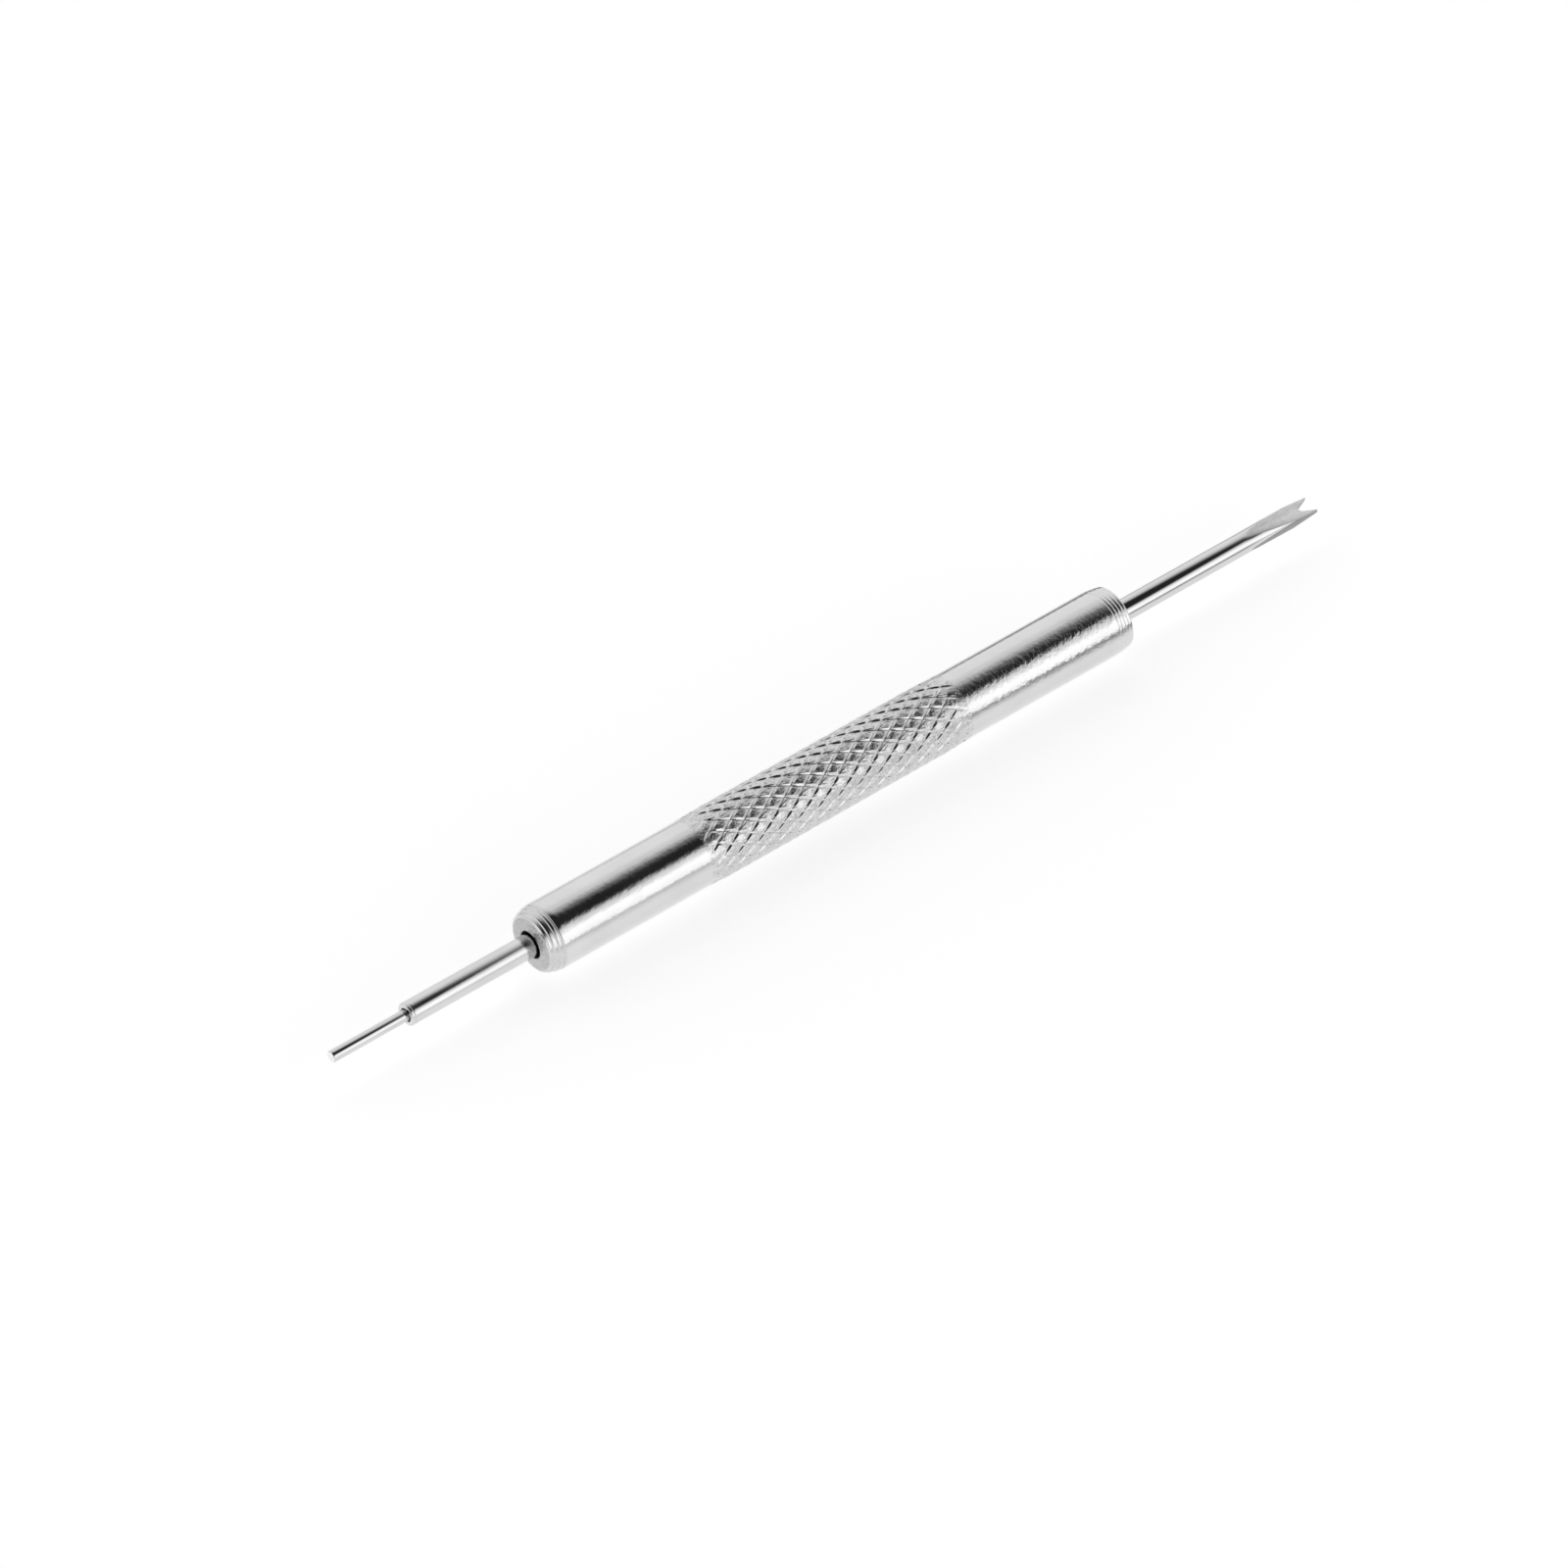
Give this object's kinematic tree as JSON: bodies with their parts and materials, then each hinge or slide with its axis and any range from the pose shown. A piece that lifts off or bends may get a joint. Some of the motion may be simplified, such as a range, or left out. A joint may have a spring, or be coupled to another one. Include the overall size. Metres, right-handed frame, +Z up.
{
  "type": "spring bar tool",
  "caption": "Double-ended spring bar tool: knurled round handle with a push pin in a sleeve at one end and a notched fork blade at the other.",
  "frame": {"origin": "on the tool's axis, halfway between the tip of the push pin and the tips of the fork", "axes": "+X along the tool's axis from the push pin to the fork, +Z up as the tool lies level on its knurl, +Y to the left of +X"},
  "size_m": [0.0754, 0.0044, 0.0044],
  "materials": {
    "handle": "bright plating with a slight orange peel",
    "sleeve": "bright drawn rod",
    "push_pin": "bright drawn wire",
    "fork": "bright rod, ground dull along the blade"
  },
  "bodies": {
    "root": {"handle": "handle", "sleeve": "sleeve", "push_pin": "push_pin", "fork": "fork"}
  },
  "joints": []
}
